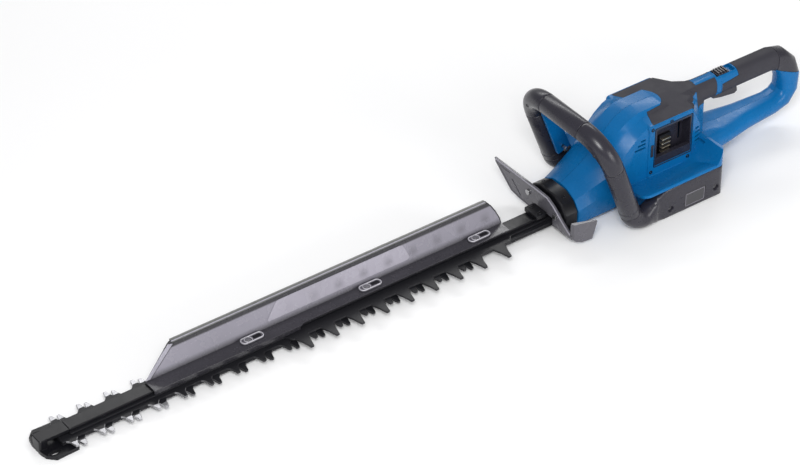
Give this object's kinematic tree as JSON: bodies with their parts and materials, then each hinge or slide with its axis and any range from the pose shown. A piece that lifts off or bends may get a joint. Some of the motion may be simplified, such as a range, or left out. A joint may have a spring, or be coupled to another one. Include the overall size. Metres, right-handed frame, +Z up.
{
  "type": "hedge trimmer",
  "caption": "Cordless hedge trimmer: two-handed housing with two side battery bays, long double-sided reciprocating blade, hand guard and cuttings guard.",
  "frame": {"origin": "on the flat underside of the base plate, on the centre line of the tool", "axes": "blade points towards -X, the operator's left is -Y, +Z is up"},
  "size_m": [1.1223, 0.1863, 0.1573],
  "materials": {
    "blue_plastic": "satin moulded",
    "soft_grip": "fine grained soft overmould",
    "dark_plastic": "satin moulded",
    "black_plastic": "fine texture",
    "smoky_guard": "smoky translucent",
    "blank_label": "printed film",
    "steel": "bright",
    "blade_steel": "black coated, ground edges",
    "contact_brass": "plain",
    "circuit_board": "lacquered"
  },
  "bodies": {
    "housing": {"backing_strip": "blade_steel", "base_plate": "dark_plastic", "blade_bar": "black_plastic", "blade_bolt_1": "steel", "blade_bolt_2": "steel", "blade_bolt_3": "steel", "blade_bolt_4": "steel", "blade_bolt_5": "steel", "control_board": "circuit_board", "cuttings_guard": "smoky_guard", "cuttings_guard_screw_1": "steel", "cuttings_guard_screw_2": "steel", "cuttings_guard_screw_3": "steel", "front_switch": "black_plastic", "gear_bearing_bottom": "contact_brass", "gear_bearing_top": "steel", "gear_case_bottom": "black_plastic", "gear_case_top": "black_plastic", "guard_comb": "blade_steel", "guard_label": "blank_label", "hand_guard": "smoky_guard", "hand_guard_screw_1": "steel", "hand_guard_screw_2": "steel", "handle_crossbar": "dark_plastic", "left_bay_liner": "dark_plastic", "left_contact_block": "contact_brass", "left_elbow": "dark_plastic", "left_leg": "dark_plastic", "left_lever_pin": "steel", "left_rail": "dark_plastic", "left_shell": "blue_plastic", "motor_can": "steel", "nameplate": "blank_label", "rail_screw_1": "steel", "rail_screw_2": "steel", "rail_screw_3": "steel", "rail_screw_4": "steel", "rear_end_cap": "dark_plastic", "rear_grip_sleeve": "soft_grip", "right_bay_liner": "dark_plastic", "right_contact_block": "contact_brass", "right_elbow": "dark_plastic", "right_leg": "dark_plastic", "right_lever_pin": "steel", "right_rail": "dark_plastic", "right_shell": "blue_plastic", "tip_guard": "black_plastic", "tip_guard_screw": "steel", "top_cover": "soft_grip", "trigger_pin": "steel", "trigger_spring": "steel", "trigger_switch": "black_plastic"},
    "trigger": {"trigger": "dark_plastic"},
    "switch_lever": {"switch_lever": "blue_plastic"},
    "lock_slider": {"lock_slider": "dark_plastic"},
    "upper_blade": {"upper_blade": "blade_steel"},
    "lower_blade": {"lower_blade": "blade_steel"},
    "drive_gear": {"drive_gear": "steel"},
    "motor_rotor": {"motor_rotor": "steel"}
  },
  "joints": [
    {"name": "trigger_pull", "type": "hinge", "parent": "housing", "child": "trigger", "pos_m": [0.127, 0, 0.09], "axis": [0, -1, 0], "range_deg": [0, 9], "stiffness_Nm_per_rad": 0.4, "springref_deg": -8.59, "deforming": ["trigger_spring"]},
    {"name": "lever_squeeze", "type": "hinge", "parent": "housing", "child": "switch_lever", "pos_m": [-0.05894, 0, 0.05055], "axis": [0, -1, 0], "range_deg": [0, 5], "stiffness_Nm_per_rad": 2, "springref_deg": -6.88},
    {"name": "lock_slide", "type": "slide", "parent": "housing", "child": "lock_slider", "axis": [1, 0, 0], "range_m": [0, 0.006], "stiffness_N_per_m": 300, "springref_m": -0.004},
    {"name": "upper_blade_stroke", "type": "slide", "parent": "housing", "child": "upper_blade", "axis": [-1, 0, 0], "range_m": [-0.00525, 0.01275]},
    {"name": "lower_blade_stroke", "type": "slide", "parent": "housing", "child": "lower_blade", "axis": [-1, 0, 0], "range_m": [-0.01275, 0.00525]},
    {"name": "gear_spin", "type": "hinge", "parent": "housing", "child": "drive_gear", "pos_m": [-0.08, 0, 0.012], "axis": [0, 0, 1], "continuous": true},
    {"name": "rotor_spin", "type": "hinge", "parent": "housing", "child": "motor_rotor", "pos_m": [-0.0525, 0, 0.012], "axis": [0, 0, 1], "continuous": true}
  ],
  "couplings": [
    {"joint": "lower_blade_stroke", "follows": "upper_blade_stroke", "ratio": -1},
    {"joint": "rotor_spin", "follows": "gear_spin", "ratio": -3.2308}
  ]
}
